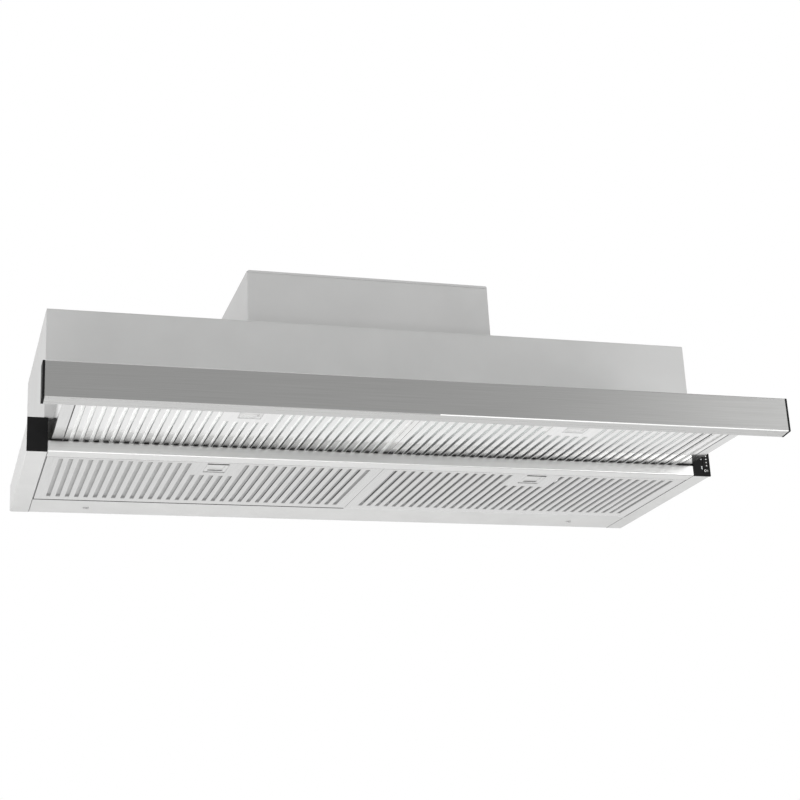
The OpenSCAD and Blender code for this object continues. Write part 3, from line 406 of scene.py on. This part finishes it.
finishes = {
    "shell_paint": plainFinish("silverPaint"), "rail_paint": plainFinish("railPaint"),
    "brushed_fascia": brushedFinish("brushedSteel"), "filter_metal": filterMetal("filterMetal", 0.58, 0.055),
    "latch_plastic": plainFinish("latchMetal"), "black_plastic": plainFinish("blackPlastic"),
    "key_plastic": plainFinish("keyPlastic"), "light_pipe": plainFinish("lightPipe"),
    "board": plainFinish("boardGreen"), "zinc_steel": plainFinish("zincSteel"), "clear_panel": clearPanel(),
    "nylon": plainFinish("nylonWhite"), "buffer_rubber": plainFinish("bufferRubber"),
    "screw_steel": plainFinish("screwSteel"), "duct_plastic": plainFinish("ductPlastic"),
    "scroll_plastic": plainFinish("scrollPlastic"), "wheel_plastic": plainFinish("ductPlastic"),
    "motor_metal": plainFinish("motorMetal"), "white_plastic": plainFinish("whitePlastic"),
    "switch_plastic": plainFinish("switchPlastic"),
}
trimFinish = brushedFinish("trimSteel")
paintedLitFold = brushedFinish("foldedSteel")
paintedSeamShade = plainFinish("seamShade")
paintedHighlight = plainFinish("paintedEdgeGleam")      # painted highlight on the fascia's lower edge
# painted light and shade: the drawer filters' sheet is a lighter copy of the lower filters' sheet (0.58), the
# left one has a wider painted shade beside the trim than the right one, and the drawer sides get the same painted
# shade
sideFinish = filterMetal("drawerSideMetal", 0.66, 0.055)
upperLeftMetal = filterMetal("upperLeftMetal", 0.8, 0.055)
upperRightMetal = filterMetal("upperRightMetal", 0.8, 0.02)
baffle = plainFinish("baffleMetal")
openBaffle = litBaffle()
marks = plainFinish("printWhite")
slotOf = {part["node"]: part["material_slot"] for part in frame["record"]["subparts"]}
ownFinish = {
    "upper_left_baffle": openBaffle, "upper_right_baffle": openBaffle,
    "lower_left_baffle": baffle, "lower_right_baffle": baffle, "fascia": paintedLitFold,
    "upper_left_face": upperLeftMetal, "upper_right_face": upperRightMetal,
    "drawer_side_left": sideFinish, "drawer_side_right": sideFinish,
}


def paintNodes():
    for name, node in nodes.items():
        node.data.materials.clear()
        node.data.materials.append(ownFinish.get(name, finishes[slotOf[name]]))


paintNodes()
print("finishes assigned")


bodyOf = {node: body for body, group in frame["record"]["behaviour"]["bodies"].items() for node in group}
# how close points, lines and directions have to be to count as the same
limits = {"merge": 0.01 * mm, "line": 0.02 * mm, "flat": math.radians(0.5), "corner": math.radians(30),
          "sameWay": 0.9, "level": 0.99, "under": -0.3}
forward, downForward, upForward = (0, -1, 0), (0, -0.7, -0.7), (0, -0.7, 0.7)


def camelName(node):
    first, *others = node.split("_")
    return first + "".join(word.capitalize() for word in others)


def outerEdge(low, high):
    return max(abs(low.x), abs(high.x))


def editOnly(piece):
    bpy.ops.object.select_all(action="DESELECT")
    bpy.context.view_layer.objects.active = piece
    piece.select_set(True)
    bpy.ops.object.mode_set(mode="EDIT")
    bpy.ops.mesh.select_mode(type="EDGE")
    bpy.ops.mesh.select_all(action="DESELECT")


def leaveEdit():
    bpy.ops.object.mode_set(mode="OBJECT")


def takeOver(node, name):
    # a copy of the node's own mesh, its triangles joined into whole faces
    piece = bpy.data.objects.new(name, nodes[node].data.copy())
    bpy.context.collection.objects.link(piece)
    editOnly(piece)
    bpy.ops.mesh.select_all(action="SELECT")
    bpy.ops.mesh.remove_doubles(threshold=limits["merge"])
    bpy.ops.mesh.dissolve_limited(angle_limit=limits["flat"])
    leaveEdit()
    return piece


def onLine(point, x=None, y=None, z=None):
    wanted = ((abs(point.x), x), (point.y, y), (point.z, z))
    return all(place is None or abs(real - place) < limits["line"] for real, place in wanted)


def bendAlong(piece, radius, segments=4, **line):
    # rounds the edges that lie on the line; x counts for both sides
    editOnly(piece)
    leaveEdit()
    for edge in piece.data.edges:
        edge.select = all(onLine(piece.data.vertices[v].co, **line) for v in edge.vertices)
    bpy.ops.object.mode_set(mode="EDIT")
    bpy.ops.mesh.bevel(offset=radius, segments=segments, affect="EDGES", clamp_overlap=False)
    leaveEdit()


def breakEdges(piece, width, segments=2):
    bpy.ops.object.select_all(action="DESELECT")
    bpy.context.view_layer.objects.active = piece
    piece.select_set(True)
    bpy.ops.object.shade_smooth()
    soft = piece.modifiers.new("brokenEdges", "BEVEL")
    soft.width = width
    soft.segments = segments
    soft.limit_method = "ANGLE"
    soft.angle_limit = limits["corner"]
    level = piece.modifiers.new("levelNormals", "WEIGHTED_NORMAL")
    level.weight = 100
    bpy.ops.object.modifier_apply(modifier=soft.name)
    bpy.ops.object.modifier_apply(modifier=level.name)


def dressFaces(piece, finish, facing, upTo=1):
    # gives the faces that look along the direction a finish of their own, as far right as upTo
    if finish.name not in piece.data.materials:
        piece.data.materials.append(finish)
    own = piece.data.materials.find(finish.name)
    for face in piece.data.polygons:
        if face.center.x < upTo and face.normal.dot(Vector(facing)) > limits["sameWay"]:
            face.material_index = own


def cutAcross(piece, x):
    # an edge all round the piece at x, so that its two halves can differ
    editOnly(piece)
    bpy.ops.mesh.select_all(action="SELECT")
    bpy.ops.mesh.bisect(plane_co=(x, 0, 0), plane_no=(1, 0, 0))
    leaveEdit()


def shadeSeam(piece, radius, x=None, y=None, upTo=1):
    # the bent edge beside a gap gets a painted shade: all but its level faces, as far right as upTo
    reach = folds["shadeShare"] * radius
    lowest = min(v.co.z for v in piece.data.vertices)
    piece.data.materials.append(paintedSeamShade)
    own = len(piece.data.materials) - 1
    for face in piece.data.polygons:
        gap = abs(abs(face.center.x) - x) if x is not None else abs(face.center.y - y)
        bent = abs(face.normal.z) < limits["level"] and abs(face.center.z - lowest) < reach
        if bent and gap < reach and face.center.x < upTo:
            face.material_index = own


def dressInside(piece, finish):
    # gives all but the underside and its broken edges the finish of the sheet inside: painted shade in the slots'
    # walls, a darker tone with a faint painted glow
    piece.data.materials.append(finish)
    own = len(piece.data.materials) - 1
    for face in piece.data.polygons:
        if face.material_index == 0 and face.normal.z > limits["under"]:
            face.material_index = own


def seat(piece, node):
    # gives the piece the node's place in the assembly
    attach(piece, bodyOf[node])
    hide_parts(node)


folds = {"sheet": 1.0 * mm, "shellBend": 1.8 * mm, "boxBend": 2.2 * mm, "railBend": 2.0 * mm,
         "trimBend": 1.8 * mm, "trimRear": 0.8 * mm, "broken": 0.25 * mm, "seam": 0.5 * mm,
         "rearSeam": 3.2 * mm, "shadeShare": 1.2}
plainWalls = {"shellBack": "wall_panel", "shellTop": "body_top", "shellLeft": "body_side_left",
              "shellRight": "body_side_right"}


def foldLine(piece, radius, x=None, y=None, z=None, inX=0, inY=0, inZ=0):
    # bends the sheet at a line: its outer face, and its inner face one sheet further in
    sheet = folds["sheet"]
    bendAlong(piece, radius, x=x, y=y, z=z)
    inner = {"x": (x, inX), "y": (y, inY), "z": (z, inZ)}
    bendAlong(piece, radius - sheet,
              **{axis: None if at is None else at + way * sheet for axis, (at, way) in inner.items()})


def makeShell():
    front = takeOver("body_front", "shellFront")
    low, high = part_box("body_front")
    foldLine(front, folds["shellBend"], y=low.y, z=low.z, inY=1, inZ=1)
    box = takeOver("motor_box", "motorBoxWrap")
    low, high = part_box("motor_box")
    lidLow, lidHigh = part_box("motor_box_lid")
    foldLine(box, folds["boxBend"], x=lidHigh.x, y=lidLow.y, inX=-1, inY=1)
    bendAlong(box, 2 * folds["boxBend"], x=high.x, y=low.y)
    lid = takeOver("motor_box_lid", "motorBoxLid")
    bendAlong(lid, folds["boxBend"], x=lidHigh.x, y=lidLow.y)
    taken = [(front, "body_front"), (box, "motor_box"), (lid, "motor_box_lid")]
    taken += [(takeOver(node, name), node) for name, node in plainWalls.items()]
    for piece, node in taken:
        breakEdges(piece, folds["broken"])
        seat(piece, node)


def makeRails():
    for side in ("left", "right"):
        node = "side_rail_" + side
        rail = takeOver(node, side + "SideRail")
        low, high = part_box(node)
        innerX = min(abs(low.x), abs(high.x))
        for z, inward in ((low.z, 1), (high.z, -1)):
            foldLine(rail, folds["railBend"], x=outerEdge(low, high), z=z, inX=-1, inZ=inward)
        bendAlong(rail, folds["seam"], x=innerX, z=low.z)
        breakEdges(rail, folds["broken"])
        shadeSeam(rail, folds["seam"], x=innerX)
        seat(rail, node)
    rear = takeOver("rear_rail", "rearRail")
    cutAcross(rear, 0)
    low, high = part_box("rear_rail")
    for z, inward in ((low.z, 1), (high.z, -1)):
        foldLine(rear, folds["railBend"], y=high.y, z=z, inY=-1, inZ=inward)
    bendAlong(rear, folds["rearSeam"], y=low.y, z=low.z)
    bendAlong(rear, folds["seam"], x=high.x, z=low.z)
    breakEdges(rear, folds["broken"])
    shadeSeam(rear, folds["rearSeam"], y=low.y, upTo=0)
    shadeSeam(rear, folds["seam"], x=high.x)
    seat(rear, "rear_rail")
    trim = takeOver("front_trim", "trimBar")
    low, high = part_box("front_trim")
    for z, inward in ((low.z, 1), (high.z, -1)):
        foldLine(trim, folds["trimBend"], y=low.y, z=z, inY=1, inZ=inward)
    bendAlong(trim, folds["trimRear"], y=high.y, z=low.z)
    breakEdges(trim, folds["broken"])
    for facing in (forward, downForward):
        dressFaces(trim, trimFinish, facing)
    seat(trim, "front_trim")


makeShell()
print("shell and motor box folded")
makeRails()
print("rails and trim bar folded")


caps = {"left_cap": {"name": "leftEndCap", "edge": 0.6 * mm},
        "control_cap": {"name": "controlCap", "edge": 0.25 * mm},
        "fascia_end_caps": {"name": "fasciaEndCaps", "edge": 0.5 * mm}}


def makeCaps():
    for node, cap in caps.items():
        piece = takeOver(node, cap["name"])
        breakEdges(piece, cap["edge"])
        seat(piece, node)


filterShape = {"fold": 0.5 * mm, "rearFold": 3.2 * mm, "slotEdge": 0.2 * mm, "latchEdge": 0.3 * mm}


def makeFilters():
    for row in ("lower", "upper"):
        for side in ("left", "right"):
            node = row + "_" + side
            face = takeOver(node + "_face", row + side.capitalize() + "Face")
            low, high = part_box(node + "_face")
            bendAlong(face, filterShape["fold"], x=outerEdge(low, high), z=low.z)
            if row == "lower":
                bendAlong(face, filterShape["rearFold"], y=high.y, z=low.z)
            breakEdges(face, filterShape["slotEdge"])
            shadeSeam(face, filterShape["fold"], x=outerEdge(low, high))
            dressInside(face, baffle)
            seat(face, node + "_face")
            inner = takeOver(node + "_baffle", row + side.capitalize() + "Baffle")
            breakEdges(inner, filterShape["slotEdge"])
            seat(inner, node + "_baffle")
            latch = takeOver(node + "_latch", row + side.capitalize() + "Latch")
            breakEdges(latch, filterShape["latchEdge"])
            # painted shade: the lower latches' front faces get the dark seam finish
            if row == "lower":
                dressFaces(latch, paintedSeamShade, forward)
            seat(latch, node + "_latch")


fasciaShape = {"frontEdge": 0.6 * mm, "topEdge": 1.0 * mm, "bevel": 1.0 * mm}


def makeFascia():
    fascia = takeOver("fascia", "fasciaStrip")
    low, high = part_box("fascia")
    bevel = fasciaShape["bevel"]
    for y, z in ((low.y, low.z + bevel), (low.y + bevel, low.z)):
        bendAlong(fascia, fasciaShape["frontEdge"], y=y, z=z)
    for y, z in ((low.y, high.z), (high.y, high.z), (high.y, low.z)):
        bendAlong(fascia, fasciaShape["topEdge"], y=y, z=z)
    cutAcross(fascia, 0)
    breakEdges(fascia, folds["broken"])
    # painted highlight on the lower front bevel, kept on the right half only
    dressFaces(fascia, paintedHighlight, downForward)
    dressFaces(fascia, finishes["brushed_fascia"], downForward, upTo=0)
    for facing in (forward, upForward):
        dressFaces(fascia, finishes["brushed_fascia"], facing)
    seat(fascia, "fascia")


drawerParts = {"frontRail": "drawer_front_rail", "rearRailOfDrawer": "drawer_rear_rail",
               "drawerSideLeft": "drawer_side_left", "drawerSideRight": "drawer_side_right",
               "clearTop": "drawer_top_panel", "glides": "drawer_glides", "doorBuffers": "drawer_buffers"}
drawerShape = {"sideBend": 1.6 * mm, "edges": {"drawer_glides": 0.8 * mm, "drawer_buffers": 0.5 * mm}}


def makeDrawer():
    for name, node in drawerParts.items():
        piece = takeOver(node, name)
        if node.startswith("drawer_side"):
            low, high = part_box(node)
            for z in (low.z, high.z):
                bendAlong(piece, drawerShape["sideBend"], x=outerEdge(low, high), z=z)
        breakEdges(piece, drawerShape["edges"].get(node, folds["broken"]))
        seat(piece, node)


keyMarks = {"edge": 0.3 * mm, "proud": 0.05 * mm, "dot": 0.85 * mm, "dotX": 443.9 * mm,
            "ring": 1.35 * mm, "ringX": 441.4 * mm, "barX": 444.8 * mm, "stroke": 0.3 * mm,
            "rimShare": 0.2, "rimRise": 0.3}
keys = ("power_key", "speed_key_one", "speed_key_two", "speed_key_three", "speed_key_four")


def placeInMesh(piece):
    # puts the object's place, turn and size into its mesh
    bpy.ops.object.select_all(action="DESELECT")
    piece.select_set(True)
    bpy.context.view_layer.objects.active = piece
    bpy.ops.object.transform_apply(location=True, rotation=True, scale=True)


def stampDot(x, y, z, radius):
    # a printed spot: a thin disc with a soft rim, standing on the key's face
    bpy.ops.mesh.primitive_cylinder_add(vertices=24, radius=radius, depth=2 * keyMarks["proud"],
                                        location=(x, y, z), rotation=(math.radians(90), 0, 0))
    dot = bpy.context.object
    placeInMesh(dot)
    for face in dot.data.polygons:
        face.select = face.normal.y < -limits["sameWay"]
    bpy.ops.object.mode_set(mode="EDIT")
    bpy.ops.mesh.select_mode(type="FACE")
    bpy.ops.mesh.inset(thickness=keyMarks["rimShare"] * radius, depth=keyMarks["rimRise"] * keyMarks["proud"])
    leaveEdit()
    return dot


def stampPower(y, z):
    # ring and stroke of the power key, joined
    bpy.ops.mesh.primitive_torus_add(location=(keyMarks["ringX"], y, z), rotation=(math.radians(90), 0, 0),
                                     major_radius=keyMarks["ring"], minor_radius=keyMarks["stroke"],
                                     major_segments=36, minor_segments=8)
    ring = bpy.context.object
    ring.scale = (1, 1, keyMarks["proud"] / keyMarks["stroke"])
    placeInMesh(ring)
    bar = stampDot(keyMarks["barX"], y, z, keyMarks["stroke"])
    for point in bar.data.vertices:
        point.co.z = z + (point.co.z - z) * keyMarks["ring"] / keyMarks["stroke"]
    ring.select_set(True)
    bar.select_set(True)
    bpy.context.view_layer.objects.active = ring
    bpy.ops.object.join()
    return ring


def makeKeys():
    for node in keys:
        name = camelName(node)
        key = takeOver(node, name)
        breakEdges(key, keyMarks["edge"])
        seat(key, node)
        low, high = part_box(node)
        middle = (low.z + high.z) / 2
        if node == "power_key":
            mark = stampPower(low.y, middle)
        else:
            mark = stampDot(keyMarks["dotX"], low.y, middle, keyMarks["dot"])
        mark.name = name + "Mark"
        mark.data.materials.clear()
        mark.data.materials.append(marks)
        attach(mark, bodyOf[node])


screwShape = {"edge": 0.45 * mm, "rim": 1.3 * mm, "wall": 0.15 * mm, "recess": 0.6 * mm,
              "leastCap": 25 * mm * mm, "halfWay": 50 * mm}


def isOuterCap(face):
    # the free end of a screw head: under the rear strip, on top above half way,
    # and rearward or outward in the drawer
    if face.area < screwShape["leastCap"]:
        return False
    up, where = face.normal, face.center
    if abs(up.z) > limits["sameWay"]:
        return up.z * (where.z - screwShape["halfWay"]) > 0
    return up.y > limits["sameWay"] or up.x * where.x > 0


def makeScrews():
    for node, name in (("shell_screws", "shellScrews"), ("drawer_screws", "drawerScrews")):
        screws = takeOver(node, name)
        for face in screws.data.polygons:
            face.select = isOuterCap(face)
        bpy.ops.object.mode_set(mode="EDIT")
        bpy.ops.mesh.select_mode(type="FACE")
        bpy.ops.mesh.inset(thickness=screwShape["rim"], use_individual=True)
        bpy.ops.mesh.inset(thickness=screwShape["wall"], depth=-screwShape["recess"], use_individual=True)
        leaveEdit()
        # painted shade: the recess in each screw head gets the dark seam finish
        screws.data.materials.append(paintedSeamShade)
        for face in screws.data.polygons:
            face.material_index = 1 if face.select else 0
        breakEdges(screws, screwShape["edge"])
        seat(screws, node)


# widths of the moulded or rolled edges, in millimetres
innerEdges = {"duct_collar": 0.5, "flap_seat": 0.3, "flap_left": 0.25, "flap_right": 0.25, "flap_pin": 0.2,
              "scroll_left": 0.4, "scroll_right": 0.4, "motor": 1.2, "motor_shaft": 0.3, "motor_bracket": 0.3,
              "capacitor": 1.0, "terminal_box": 0.8, "cable_gland": 0.4, "drawer_switch": 0.3,
              "switch_lever": 0.08, "runner_left": 0.2, "runner_right": 0.2, "control_board": 0.12,
              "status_lights": 0.12}


def makeInnerPieces():
    # blower, duct collar, runners and electrics
    for node, width in innerEdges.items():
        piece = takeOver(node, camelName(node))
        breakEdges(piece, width * mm)
        seat(piece, node)


makeCaps()
makeKeys()
makeScrews()
makeInnerPieces()
print("caps, keys, screws and inner pieces finished")
makeFilters()
makeFascia()
makeDrawer()
print("filters, fascia and drawer finished")
